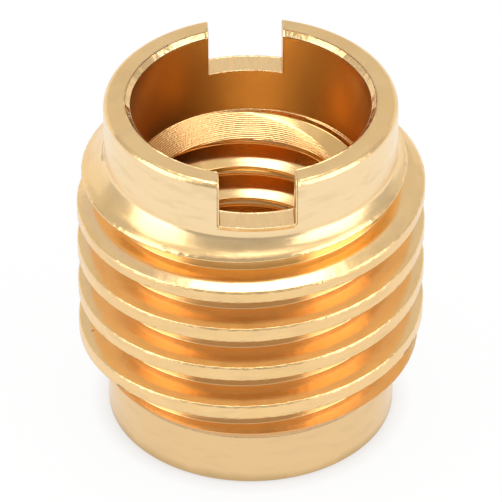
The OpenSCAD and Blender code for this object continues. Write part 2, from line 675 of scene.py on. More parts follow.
@dataclass
class InsertBody:
    """The insert's closed surface, put together from bands and rings of rows.

    The edge is how far the slot's edges are rounded. It is eased next to the
    walls' ends, and the middle of the rounding lies in by edge_middle of it.
    The other lengths say where a band ends and the rows beside an edge lie.
    """

    sizes: InsertSizes
    columns: int = 360
    slot_columns: int = 15
    edge: float = 0.05
    edge_ease: float = 0.4
    edge_middle: float = 0.29
    low_rows: int = 4
    knife_below: float = 0.4
    knife_above: float = 0.05
    tap_below: float = 0.03
    neck_drops: Span = (1.5, 0.9)
    mouth_drops: Place = (0.35, 0.9, 1.5)
    arc_side: float = 0.05
    bend_side: float = 0.06
    bend_reach: float = 0.03
    bore_rows: int = 5
    pilot_side: float = 0.1
    pilot_reach: float = 0.04
    pilot_middle: float = 1.1
    exit_side: float = 0.08
    points: list[Array] = field(default_factory=list)
    faces: list[Array] = field(default_factory=list)
    zones: list[Array] = field(default_factory=list)
    count: int = 0

    @property
    def angle(self) -> Array:
        """Even column angles in radians, from +Y round."""
        return math.pi / 2 + TURN * np.arange(self.columns) / self.columns

    @property
    def from_middle(self) -> Array:
        """Signed number of columns from the nearer end of the slot to each column."""
        quarter = self.columns // 4
        return (np.arange(self.columns) + quarter) % (2 * quarter) - quarter

    @property
    def foot(self) -> float:
        """Height where the slotted part of the neck starts, just below the slot's floor."""
        return self.sizes.slot_floor_z - self.edge

    def knife_band(self) -> ThreadBand:
        """The outer thread with its lead-in and shoulder cones.

        The groove's root is what the land and its three straight sides leave
        of the pitch.

        Returns:
            The band.
        """
        s = self.sizes
        lower, upper = rise(s.knife_lower_degrees), rise(s.knife_upper_degrees)
        bevel = rise(s.knife_bevel_degrees)
        lower_side = (s.knife_depth - s.knife_bevel) / lower + s.knife_bevel / bevel
        sides = lower_side + s.knife_depth / upper
        limits = Limits(
            crest=s.crest_r,
            low_z=s.pilot_h + s.lead_in_h,
            high_z=s.height - s.neck_h - s.shoulder_h,
            low_slope=(s.crest_r - s.pilot_r) / s.lead_in_h,
            high_slope=s.shoulder_slope,
            low_wall=s.pilot_r,
            high_wall=s.neck_r,
            fillet=s.shoulder_fillet,
        )
        groove = Groove(
            pitch=s.knife_pitch,
            root=s.root_r,
            root_half=(s.knife_pitch - s.knife_land - sides) / 2,
            lower_rise=lower,
            upper_rise=upper,
            bevel_from=s.crest_r - s.knife_bevel,
            bevel_rise=bevel,
            mark_z=s.knife_front_z,
            mark_angle=-math.pi / 2,
            root_edge=Rounding(0.03, 3),
            lower_edge=Rounding(0.08, 5),
            upper_edge=Rounding(0.07, 6),
            bevel_edge=Rounding(0.14, 5),
            last_z=s.knife_last_bevel_z,
            last_bevel_from=s.crest_r - s.knife_last_bevel,
            last_bevel_rise=rise(s.knife_last_bevel_degrees),
        )
        return ThreadBand(
            limits,
            groove,
            low=s.pilot_h - self.knife_below,
            high=s.height - s.neck_h + self.knife_above,
            sign=1,
            ragged=Ragged(0.006, 0.008, seed=3, lip_rise=0.165, lip_reach=0.16, lip_span=0.34),
        )

    def tap_band(self) -> ThreadBand:
        """The machine thread with its exit chamfer and countersink.

        Returns:
            The band.
        """
        s = self.sizes
        flank = rise(s.tap_flank_degrees)
        limits = Limits(
            crest=-s.bore_r,
            low_z=s.tap_exit_chamfer,
            high_z=s.counterbore_z - (s.counterbore_r - s.bore_r),
            low_slope=1.0,
            high_slope=1.0,
            low_wall=-2 * s.counterbore_r,
            high_wall=-s.counterbore_r,
        )
        groove = Groove(
            pitch=s.tap_pitch,
            root=-s.tap_major_r,
            root_half=s.tap_root_flat / 2,
            lower_rise=flank,
            upper_rise=flank,
            bevel_from=-s.bore_r,
            bevel_rise=flank,
            mark_z=s.tap_back_z,
            mark_angle=math.pi / 2,
            root_edge=Rounding(0.04, 2),
            lower_edge=Rounding(0.035, 3),
            upper_edge=Rounding(0.1, 4),
        )
        return ThreadBand(limits, groove, low=0.0, high=s.counterbore_z - self.tap_below, sign=-1)

    def warped(self, radius: Array, share: Array | float) -> Array:
        """Column angles that meet the slot's walls.

        The columns at the slot's edges turn to where a circle of that radius
        meets the slot's wall, whose angle from the slot's middle is the arc
        sine of half the slot over the radius, and the others spread evenly
        between them. The share mixes that with the even angles.

        Args:
            radius: radius of each row, [rows].
            share: 1 for the turned columns and 0 for the even ones.

        Returns:
            Angles in radians, [rows, columns].
        """
        from_middle = self.from_middle
        middle = (np.arange(self.columns) - from_middle) * TURN / self.columns
        away = np.abs(from_middle)
        edge = np.arcsin(self.sizes.slot_half / np.asarray(radius))[:, None]
        inside = edge * away / self.slot_columns
        past = (away - self.slot_columns) / (self.columns // 4 - self.slot_columns)
        outside = edge + (math.pi / 2 - edge) * past
        turned = np.sign(from_middle) * np.where(away <= self.slot_columns, inside, outside)
        even = from_middle * TURN / self.columns
        share = np.asarray(share).reshape(-1, 1)
        return math.pi / 2 + middle + even * (1 - share) + turned * share

    def add(self, grid: Array, zone: Array | Zone, shift: int = 0, falls: bool = False) -> None:
        """Adds a grid of points that closes round the axis, and its faces.

        Args:
            grid: points, [rows, columns, 3].
            zone: the zone of every face, or of each row of faces and column.
            shift: rows by which the last column is below the first.
            falls: whether the metal lies on the other side, so that its rows
                run against the order of the outside's.
        """
        rows, columns = grid.shape[:2]
        index = np.arange(rows * columns).reshape(rows, columns) + self.count
        here, there = index[:, :-1], index[:, 1:]
        last, first = index[: rows - shift, -1], index[shift:, 0]
        quads = np.concatenate([
            np.stack([here[:-1], there[:-1], there[1:], here[1:]], -1).reshape(-1, 4),
            np.stack([last[:-1], first[:-1], first[1:], last[1:]], -1),
        ])
        value = zone.value if isinstance(zone, Zone) else zone
        zones = np.broadcast_to(value, (rows - 1, columns))
        self.points.append(grid.reshape(-1, 3))
        self.faces.append(quads[:, ::-1] if falls else quads)
        self.zones.extend([zones[:, :-1].reshape(-1), zones[: rows - shift - 1, -1]])
        self.count += rows * columns

    def add_band(self, band: ThreadBand, zone: Zone) -> tuple[Array, Array]:
        """Adds a thread band.

        Args:
            band: the band.
            zone: its zone.

        Returns:
            Radii of the band's lowest and highest ring, [columns] each.
        """
        rows, per_turn = band.rows(self.angle)
        z, r = rows[..., 0].T, rows[..., 1].T
        self.add(around(r, self.angle, z), zone, shift=per_turn, falls=band.sign < 0)
        return r[0], r[-1]

    def add_rings(
        self, path: Array, zone: Zone, share: Array | float = 0.0, falls: bool = False
    ) -> None:
        """Adds rings that follow a path of radii and heights.

        Args:
            path: [rows, 2], or [rows, columns, 2] where the rings aren't round.
            zone: their zone.
            share: how far each ring's columns are turned to meet the slot.
            falls: whether the path runs against the outside's order.
        """
        if path.ndim == 2:
            path = np.repeat(path[:, None, :], self.columns, axis=1)
        angle = self.warped(path[:, 0, 0], share)
        self.add(around(path[..., 0], angle, path[..., 1]), zone, falls=falls)

    def rim_path(self) -> Array:
        """Rows from the neck's wall up over the rim and down the counterbore.

        The rim's outer edge is a quarter circle, and the two edges of the
        mouth's chamfer are rounded.

        Returns:
            Radii and heights, [rows, 2].
        """
        s = self.sizes
        low = [self.foot + row * self.edge for row in range(self.low_rows)]
        turn = np.linspace(0.0, math.pi / 2, ARC_ROWS)
        arc_r = s.neck_r - s.rim_round
        arc = np.stack([
            arc_r + s.rim_round * np.cos(turn),
            s.height - s.rim_round + s.rim_round * np.sin(turn),
        ], -1)
        mouth = s.counterbore_r + s.rim_chamfer
        corners = np.array([
            [mouth + self.bend_side, s.height],
            [mouth, s.height],
            [s.counterbore_r, s.height - s.rim_chamfer],
            [s.counterbore_r, s.height - s.rim_chamfer - self.bend_side],
        ])
        neck_drops = (*self.neck_drops, s.rim_round + self.arc_side)
        return np.concatenate([
            upright(s.neck_r, low),
            upright(s.neck_r, [s.height - drop for drop in neck_drops]),
            arc,
            [[arc_r - self.arc_side, s.height], corners[0]],
            round_path(corners, self.bend_reach),
            upright(s.counterbore_r, [s.height - drop for drop in self.mouth_drops]),
            upright(s.counterbore_r, low[::-1]),
        ])

    def floor_path(self, rows: int) -> Array:
        """Rows across the slot's floor, from the neck's wall to the counterbore.

        Args:
            rows: number of rows.

        Returns:
            Radii and heights, [rows, 2].
        """
        s, e = self.sizes, self.edge
        z = s.slot_floor_z
        outer = np.array([[s.neck_r, z - e], [s.neck_r, z], [s.neck_r - e, z]])
        inner = np.array([[s.counterbore_r + e, z], [s.counterbore_r, z], [s.counterbore_r, z - e]])
        start, end = round_path(outer, e), round_path(inner, e)
        start[0], start[-1] = outer[0], outer[2]
        end[0], end[-1] = inner[0], inner[2]
        across = np.linspace(s.neck_r - e, s.counterbore_r + e, rows + 2 - 2 * BEND_POINTS)[1:-1]
        return np.concatenate([start, np.stack([across, np.full_like(across, z)], -1), end])

    def add_top(self) -> None:
        """Adds the slotted neck above the slot's floor.

        Columns outside the slot follow the rim's path and those inside it the
        floor's. At each of the slot's four walls, four columns join the two.
        Three of them follow the rim's path round the wall's edge onto the
        wall, and are eased out at the path's ends. The fourth follows the
        floor's path on the wall's plane.
        """
        rim = self.rim_path()
        rows = len(rim)
        floor = self.floor_path(rows)
        tangent = np.gradient(rim, axis=0)
        tangent /= np.linalg.norm(tangent, axis=1, keepdims=True)
        outward = np.stack([tangent[:, 1], -tangent[:, 0]], -1)
        reach = np.full(rows, self.edge)
        reach[[1, -2]] *= self.edge_ease
        reach[[0, -1]] = 0.0
        in_slot = np.abs(self.from_middle) < self.slot_columns
        rim_angle = self.warped(rim[:, 0], 1.0)
        angle = np.where(in_slot, self.warped(floor[:, 0], 1.0), rim_angle)
        path = np.where(in_slot[None, :, None], floor[:, None, :], rim[:, None, :])
        grid = around(path[..., 0], angle, path[..., 1])
        plain = np.where(in_slot, Zone.SLOT.value, Zone.OUTSIDE.value)

        def at_wall(path: Array, offset: Array) -> Array:
            """A path's points beside the wall, where y squared is r squared less x squared."""
            x = self.sizes.slot_half + offset
            return np.stack([x_sign * x, y_sign * np.sqrt(path[:, 0] ** 2 - x**2), path[:, 1]], -1)

        grids, zones, done = [], [], 0
        for wall in np.flatnonzero(np.abs(self.from_middle) == self.slot_columns):
            middle = rim_angle[rows // 2, wall]
            x_sign, y_sign = np.sign(math.cos(middle)), np.sign(math.sin(middle))
            part = self.edge_middle * reach
            steps = [
                at_wall(rim, reach),
                at_wall(rim - part[:, None] * outward, part),
                at_wall(rim - reach[:, None] * outward, 0 * reach),
                at_wall(floor, 0 * reach),
            ]
            kinds = [Zone.OUTSIDE, Zone.OUTSIDE, Zone.SLOT, Zone.SLOT]
            if self.from_middle[wall] > 0:
                steps = steps[::-1]
                kinds = [Zone.SLOT, Zone.OUTSIDE, Zone.OUTSIDE, Zone.OUTSIDE]
            grids += [grid[:, done:wall], np.stack(steps, axis=1)]
            zones += [plain[done:wall], [kind.value for kind in kinds]]
            done = wall + 1
        grids.append(grid[:, done:])
        zones.append(plain[done:])
        value = np.concatenate(zones)[None, :].repeat(rows - 1, axis=0)
        first_in_bore = rows - 1 - len(self.mouth_drops) - self.low_rows
        in_bore = np.arange(rows - 1)[:, None] >= first_in_bore
        value = np.where(in_bore & (value == Zone.OUTSIDE.value), Zone.BORE.value, value)
        self.add(np.concatenate(grids, axis=1), value)

    def add_wall_rings(self, knife: ThreadBand, tap: ThreadBand, tap_high: Array) -> None:
        """Adds the walls between the bands and the slotted top.

        Args:
            knife: the outer thread.
            tap: the machine thread.
            tap_high: radii of the machine thread's highest ring.
        """
        s = self.sizes
        neck = upright(s.neck_r, [knife.high, (knife.high + self.foot) / 2, self.foot])
        self.add_rings(neck, Zone.OUTSIDE, share=[0.0, 0.5, 1.0])
        self.add_top()
        low = s.counterbore_z + self.bend_side
        wall = upright(s.counterbore_r, np.linspace(self.foot, low, self.bore_rows))
        corners = np.array([
            wall[-1],
            [s.counterbore_r, s.counterbore_z],
            [abs(tap_high[0]), tap.high],
        ])
        bore = np.concatenate([wall, round_path(corners, self.bend_reach), corners[2:]])
        share = np.zeros(len(bore))
        share[: self.bore_rows] = np.linspace(1.0, 0.0, self.bore_rows)
        self.add_rings(bore, Zone.BORE, share=share)

    def build(self) -> None:
        """Adds every band and ring, and last the lower face."""
        s = self.sizes
        knife, tap = self.knife_band(), self.tap_band()
        self.add_band(knife, Zone.OUTSIDE)
        tap_low, tap_high = self.add_band(tap, Zone.BORE)
        self.add_wall_rings(knife, tap, tap_high)
        corners = np.array([
            [s.pilot_r, s.pilot_edge + self.pilot_side],
            [s.pilot_r, s.pilot_edge],
            [s.pilot_r - s.pilot_edge, 0.0],
            [s.pilot_r - s.pilot_edge - self.pilot_side, 0.0],
        ])
        pilot = np.concatenate([
            upright(s.pilot_r, [knife.low, self.pilot_middle]),
            corners[:1],
            round_path(corners, self.pilot_reach),
            corners[3:],
        ])
        rings = np.repeat(pilot[:, None, :], self.columns, axis=1)
        exits = [
            np.stack([tap_low + side, np.zeros(self.columns)], -1)[None]
            for side in (self.exit_side, 0.0)
        ]
        self.add_rings(np.concatenate([rings, *exits]), Zone.OUTSIDE, falls=True)

    def merge(self) -> tuple[Array, Array, Array, Array]:
        """Merges the points that coincide.

        A face that has lost corners becomes a triangle or goes.

        Returns:
            The points, the faces with four corners, those with three, and the
            zones of both.
        """
        points, faces = np.concatenate(self.points), np.concatenate(self.faces)
        zones = np.concatenate(self.zones)
        key = np.rint(points / MERGE).astype(np.int64)
        _, first, merged = np.unique(key, axis=0, return_index=True, return_inverse=True)
        faces = merged.reshape(-1)[faces]
        repeats = faces == np.roll(faces, -1, axis=1)
        lost = repeats.sum(axis=1)
        whole = (lost == 0) & (faces[:, 0] != faces[:, 2]) & (faces[:, 1] != faces[:, 3])
        thin = lost == 1
        kept = faces[thin][~repeats[thin]].reshape(-1, 3)
        good = (kept != np.roll(kept, -1, axis=1)).all(axis=1)
        zones = np.concatenate([zones[whole], zones[thin][good]])
        return points[first], faces[whole], kept[good], zones

    def to_object(self, name: str) -> bpy.types.Object:
        """Makes the mesh object of the merged surface.

        Each point's normal is the sum of its faces' cross products, so large
        faces stay flat in the shading.

        Args:
            name: the object's name.

        Returns:
            The new object, in metres, at the origin.
        """
        points, quads, triangles, zones = self.merge()

        def span(faces: Array, start: int, end: int) -> Array:
            """Each face's way from one corner to another."""
            return points[faces[:, end]] - points[faces[:, start]]

        cross = np.cross(span(quads, 0, 2), span(quads, 1, 3))
        flat = np.cross(span(triangles, 0, 1), span(triangles, 0, 2))
        normals = np.zeros_like(points)
        for faces, normal in ((quads, cross), (triangles, flat)):
            for corner in range(faces.shape[1]):
                np.add.at(normals, faces[:, corner], normal)
        normals /= np.maximum(np.linalg.norm(normals, axis=1, keepdims=True), LEAST_NORMAL)

        mesh = bpy.data.meshes.new(name)
        mesh.from_pydata(points * MM, [], quads.tolist() + triangles.tolist())
        mesh.polygons.foreach_set("material_index", zones.astype(np.int32))
        mesh.polygons.foreach_set("use_smooth", np.ones(len(zones), dtype=bool))
        mesh.update()
        mesh.normals_split_custom_set_from_vertices(normals)
        sides = np.concatenate([np.roll(quads, -k, axis=1)[:, :2] for k in range(4)])
        edge = mesh.attributes.new(EDGE_ATTRIBUTE, "FLOAT", "POINT")
        edge.data.foreach_set("value", outward_edge(points, normals, sides).astype(np.float32))
        LOG.info("%s: %d points, %d triangles", name, len(points), 2 * len(quads) + len(triangles))
        return add_object(name, mesh)


def add_object(name: str, data: bpy.types.ID) -> bpy.types.Object:
    """Makes an object and puts it in the scene.

    Args:
        name: the object's name.
        data: its mesh, light or camera.

    Returns:
        The new object.
    """
    item = bpy.data.objects.new(name, data)
    bpy.context.scene.collection.objects.link(item)
    return item


class Tree:
    """Adds and joins the nodes of a material or a world."""

    def __init__(self, owner: bpy.types.Material | bpy.types.World) -> None:
        """Opens the owner's nodes."""
        owner.use_nodes = True
        self.nodes, self.links = owner.node_tree.nodes, owner.node_tree.links

    def feed(self, socket: Socket, value: Value) -> None:
        """Feeds an input.

        Args:
            socket: the input.
            value: the socket that it is joined to, or the value that it is set to.
        """
        if isinstance(value, Socket):
            self.links.new(value, socket)
        else:
            socket.default_value = value

    def add(
        self, kind: str, inputs: dict | None = None, output: str | int = 0, **settings: str | bool
    ) -> Socket:
        """Adds a node.

        Args:
            kind: the node's type.
            inputs: what its inputs are fed, by their names or numbers.
            output: the name or number of the wanted output.
            settings: the node's other settings.

        Returns:
            That output.
        """
        node = self.nodes.new(kind)
        for name, value in settings.items():
            setattr(node, name, value)
        for name, value in (inputs or {}).items():
            self.feed(node.inputs[name], value)
        return node.outputs[output]

    def math(self, operation: str, *values: Value) -> Socket:
        """Adds a Math node and returns its result."""
        return self.add("ShaderNodeMath", dict(enumerate(values)), operation=operation)

    def times(self, first: Value, second: Value) -> Socket:
        """Multiplies two values."""
        return self.math("MULTIPLY", first, second)

    def scaled(self, value: Value, factor: Value, extra: Value) -> Socket:
        """Multiplies a value by a factor and adds the extra."""
        return self.math("MULTIPLY_ADD", value, factor, extra)

    def vector(self, operation: str, *values: Value, output: str | int = 0) -> Socket:
        """Adds a Vector Math node and returns one of its results."""
        inputs = dict(enumerate(values))
        return self.add("ShaderNodeVectorMath", inputs, output, operation=operation)

    def resized(self, vector: Value, scale: Value) -> Socket:
        """Multiplies a vector by a number."""
        inputs = {0: vector, "Scale": scale}
        return self.add("ShaderNodeVectorMath", inputs, operation="SCALE")

    def map_range(self, value: Value, span: Span, to: Span, kind: str = "LINEAR") -> Socket:
        """Maps a span to another one, and holds what is past its ends."""
        inputs = dict(enumerate((value, *span, *to)))
        return self.add("ShaderNodeMapRange", inputs, "Result", interpolation_type=kind)

    def step(self, value: Value, span: Span, to: Span = (0.0, 1.0)) -> Socket:
        """Runs smoothly from its first value at the span's start to its last at the end."""
        return self.map_range(value, span, to, "SMOOTHSTEP")

    def mix(self, share: Value, first: Value, second: Value) -> Socket:
        """Mixes two colours and returns the result."""
        inputs = {0: share, 6: first, 7: second}
        return self.add("ShaderNodeMix", inputs, 2, data_type="RGBA")

    def seen_rays(self) -> Socket:
        """Adds the sum of camera, glossy and transmission rays.

        Returns:
            1 for those rays and 0 for all others.
        """
        total = self.add("ShaderNodeLightPath", output="Is Camera Ray")
        paths = total.node.outputs
        for name in ("Is Glossy Ray", "Is Transmission Ray"):
            inputs = {0: total, 1: paths[name]}
            total = self.add("ShaderNodeMath", inputs, operation="ADD", use_clamp=True)
        return total


@dataclass(frozen=True)
class Marks:
    """Noise drawn out round the axis, as a turning tool's marks are.

    The lean is how much r adds to the height that the marks keep to, so that
    they also run round level faces. Along and across are cells in a millimetre
    those ways, and the depth is their bump's in millimetres.
    """

    lean: float
    along: float
    across: float
    detail: float = 2.0
    depth: float = 0.0


@dataclass(frozen=True)
class Mottle:
    """Even noise: its cells in a millimetre, its detail and its bump's depth in millimetres."""

    rate: float
    detail: float = 2.0
    depth: float = 0.0


@dataclass(frozen=True)
class Scar:
    """A short dark scar or burr, from one place to another, in millimetres."""

    start: Place
    end: Place
    width: float
    core: float = 0.4


@dataclass(frozen=True)
class Tint:
    """A colour of one part of a surface.

    It starts over from_z and ends over to_z as the height rises, and ends over
    within_r as the radius grows.
    """

    color: Rgba
    to_z: Span
    from_z: Span | None = None
    within_r: Span | None = None


class BrassTree(Tree):
    """Adds and joins the nodes of one brass material.

    Its coordinates are the object's own, in millimetres: x, y, z, and r, the
    distance from the axis.
    """

    def __init__(self, name: str) -> None:
        """Makes the material and its coordinates.

        Args:
            name: the material's name.
        """
        self.material = bpy.data.materials.new(name)
        super().__init__(self.material)
        self.shader = self.nodes["Principled BSDF"]
        self.shader.inputs["Metallic"].default_value = 1.0
        self.place = self.resized(self.add("ShaderNodeTexCoord", output="Object"), 1 / MM)
        self.x = self.add("ShaderNodeSeparateXYZ", {0: self.place})
        _, self.y, self.z = self.x.node.outputs
        squares = [self.math("POWER", side, 2.0) for side in (self.x, self.y)]
        self.r = self.math("SQRT", self.math("ADD", *squares))

    def noise(self, place: Socket, rate: float, detail: float) -> Socket:
        """Adds a Noise Texture and returns its value, from 0 to 1 about 0.5."""
        inputs = {"Vector": place, "Scale": rate, "Detail": detail}
        return self.add("ShaderNodeTexNoise", inputs)

    def mottle(self, mottle: Mottle) -> Socket:
        """Adds even noise."""
        return self.noise(self.place, mottle.rate, mottle.detail)

    def stretched(self, along: float, across: float, height: Socket, detail: float) -> Socket:
        """Adds noise at x and y times one rate, and at a height times another.

        Args:
            along: the rate for x and y.
            across: the rate for the height.
            height: the height.
            detail: detail of the noise.

        Returns:
            Its value, from 0 to 1 about 0.5.
        """
        sides = [self.times(side, along) for side in (self.x, self.y)]
        sides.append(self.times(height, across))
        return self.noise(self.add("ShaderNodeCombineXYZ", dict(enumerate(sides))), 1.0, detail)

    def marks(self, marks: Marks) -> Socket:
        """Adds a turning tool's marks."""
        height = self.scaled(self.r, marks.lean, self.z)
        return self.stretched(marks.along, marks.across, height, marks.detail)

    def wave(self, turn: Socket) -> Socket:
        """Adds a sine wave from 0 to 1 of an angle in radians."""
        return self.scaled(self.math("SINE", turn), 0.5, 0.5)

    def tint(self, under: Value, tint: Tint, z: Socket | None = None) -> Socket:
        """Lays a tint over a colour.

        Args:
            under: the colour.
            tint: the tint.
            z: the height that it goes by, if not the surface's own.

        Returns:
            The tinted colour.
        """
        z = self.z if z is None else z
        share = self.step(z, tint.to_z, FALL)
        if tint.from_z:
            share = self.times(self.step(z, tint.from_z), share)
        if tint.within_r:
            share = self.times(self.step(self.r, tint.within_r, FALL), share)
        return self.mix(share, under, tint.color)

    def bump(self, height: Socket, depth: Value, under: Socket | None = None) -> Socket:
        """Adds a bump.

        Args:
            height: the height, from 0 to 1.
            depth: millimetres from height 0 to height 1.
            under: the bumps it lies on.

        Returns:
            The bumped normal.
        """
        inputs = {"Strength": 1.0, "Distance": MM, "Height": self.times(height, depth)}
        if under is not None:
            inputs["Normal"] = under
        return self.add("ShaderNodeBump", inputs)

    def scar(self, mark: Scar) -> Socket:
        """Finds how near the surface is to a scar.

        With p the place, a the scar's start and d the way to its end, the
        nearest point is a + h d, where h is (p - a).d / d.d held between 0
        and 1.

        Args:
            mark: the scar.

        Returns:
            1 in the scar and 0 away from it.
        """
        way = Vector(mark.end) - Vector(mark.start)
        from_start = self.vector("SUBTRACT", self.place, mark.start)
        share = self.vector("DOT_PRODUCT", from_start, way / way.length_squared, output="Value")
        held = self.math("MINIMUM", self.math("MAXIMUM", share, 0.0), 1.0)
        nearest = self.resized(way, held)
        away = self.vector("DISTANCE", from_start, nearest, output="Value")
        return self.step(away, (mark.core * mark.width, mark.width), FALL)

    def wear(self) -> Socket:
        """Reads how sharply the surface turns outwards, from 0 to 1 at an edge."""
        return self.add("ShaderNodeAttribute", output="Fac", attribute_name=EDGE_ATTRIBUTE)

    def finish(self, color: Value, roughness: Value, normal: Socket) -> bpy.types.Material:
        """Joins the results to the shader.

        Args:
            color: the base colour.
            roughness: the roughness.
            normal: the bumped normal.

        Returns:
            The finished material.
        """
        self.feed(self.shader.inputs["Base Color"], color)
        self.feed(self.shader.inputs["Roughness"], roughness)
        self.feed(self.shader.inputs["Normal"], normal)
        return self.material


@dataclass(frozen=True)
class TurnedBrass:
    """The outside: bright turned brass with faint rings and smudges.

    The neck is painted paler, as a painted highlight, and each groove, the
    pilot and its foot are painted darker, as painted shade.
    Threads carry small burrs on their edges, the rim shallow dents, and the
    pilot's upper edge a rough lip. A few dark scars lie low on the threads.
    """

    name: str = "turned_brass"
    color: Rgba = (0.93, 0.64, 0.31, 1.0)
    tinge: Rgba = (0.90, 0.59, 0.26, 1.0)
    cloud: Mottle = Mottle(0.45, 3.0)
    cloud_span: Span = (0.35, 0.75)
    cloud_share: float = 0.8
    # Painted highlight: the neck is painted paler than the brass.
    neck: Tint = Tint((0.95, 0.72, 0.42, 1.0), from_z=(11.9, 12.8), to_z=(14.62, 14.8))
    # Painted shade: each groove of the outer thread is painted darker than the brass.
    groove_shade: Tint = Tint((0.89, 0.61, 0.33, 1.0), within_r=(6.6, 6.9), to_z=(10.6, 11.0))
    # Painted shade: the pilot is painted darker than the brass.
    pilot: Tint = Tint((0.83, 0.57, 0.29, 1.0), to_z=(2.25, 2.5))
    # Painted shade: the foot is painted much darker, its edge wavering with the cloud noise.
    foot: Tint = Tint((0.62, 0.42, 0.20, 1.0), to_z=(0.35, 0.85))
    foot_shade_waver: float = 0.6
    smudge: Rgba = (0.72, 0.50, 0.26, 1.0)
    smudges: Marks = Marks(lean=0.0, along=0.8, across=2.8, detail=5.0)
    smudge_span: Span = (0.46, 0.72)
    smudge_share: float = 0.3
    scar: Rgba = (0.36, 0.24, 0.13, 1.0)
    scar_share: float = 0.85
    scars: tuple[Scar, ...] = (
        Scar((-6.88, -1.34, 4.20), (-6.44, -1.36, 4.58), width=0.06),
        Scar((6.04, -3.54, 4.61), (6.12, -3.40, 4.62), width=0.15),
        Scar((6.08, -3.47, 4.60), (6.46, -2.70, 4.67), width=0.09),
        Scar((6.34, -2.96, 4.65), (6.40, -2.83, 4.66), width=0.13),
        Scar((-5.52, -4.31, 4.02), (-5.30, -4.57, 4.0), width=0.10),
    )
    roughness: Span = (0.19, 0.27)
    rough_marks: Marks = Marks(lean=-0.8, along=0.2, across=2.2)
    rough_span: Span = (0.3, 0.7)
    edge_polish: float = -0.05
    waves: Mottle = Mottle(0.9, depth=0.016)
    rings: Marks = Marks(lean=-0.8, along=0.12, across=11.0, detail=3.0, depth=0.0025)
    burrs: Mottle = Mottle(6.5, depth=0.03)
    burrs_z: Span = (3.2, 3.7)
    dents: Mottle = Mottle(1.7, 1.0, depth=0.12)
    dents_z: Span = (11.9, 12.8)
    lip: Mottle = Mottle(5.5, depth=0.05)
    lip_z: float = 2.4
    lip_half: Span = (0.03, 0.1)

    def colors(self, t: BrassTree, cloud: Socket) -> Socket:
        """Lays the painted highlight and painted shade tints, the smudges and
        the scars over the brass.

        Args:
            t: the material's nodes.
            cloud: the noise that mixes the brass with its tinge.

        Returns:
            The colour.
        """
        tinged = t.step(cloud, self.cloud_span, (0.0, self.cloud_share))
        color = t.mix(tinged, self.color, self.tinge)
        # Painted highlight on the neck, and painted shade on each groove and the pilot.
        for tint in (self.neck, self.groove_shade, self.pilot):
            color = t.tint(color, tint)
        smudged = t.step(t.marks(self.smudges), self.smudge_span, (0.0, self.smudge_share))
        color = t.mix(smudged, color, self.smudge)
        # Painted shade at the foot, its edge wavered by the cloud noise.
        color = t.tint(color, self.foot, t.scaled(cloud, self.foot_shade_waver, t.z))
        marked = 0.0
        for mark in self.scars:
            marked = t.math("MAXIMUM", t.scar(mark), marked)
        return t.mix(t.times(marked, self.scar_share), color, self.scar)

    def material(self) -> bpy.types.Material:
        """Builds the material.

        Returns:
            The material.
        """
        t = BrassTree(self.name)
        worn = t.wear()
        color = self.colors(t, t.mottle(self.cloud))
        rough = t.step(t.marks(self.rough_marks), self.rough_span, self.roughness)
        rough = t.scaled(worn, self.edge_polish, rough)
        normal = t.bump(t.mottle(self.waves), self.waves.depth)
        normal = t.bump(t.marks(self.rings), self.rings.depth, normal)
        for bumps, span in ((self.burrs, self.burrs_z), (self.dents, self.dents_z)):
            on_edge = t.times(worn, t.step(t.z, span))
            normal = t.bump(t.times(t.mottle(bumps), on_edge), bumps.depth, normal)
        from_lip = t.math("ABSOLUTE", t.math("SUBTRACT", t.z, self.lip_z))
        lip = t.times(t.step(from_lip, self.lip_half, FALL), t.mottle(self.lip))
        return t.finish(color, rough, t.bump(lip, self.lip.depth, normal))


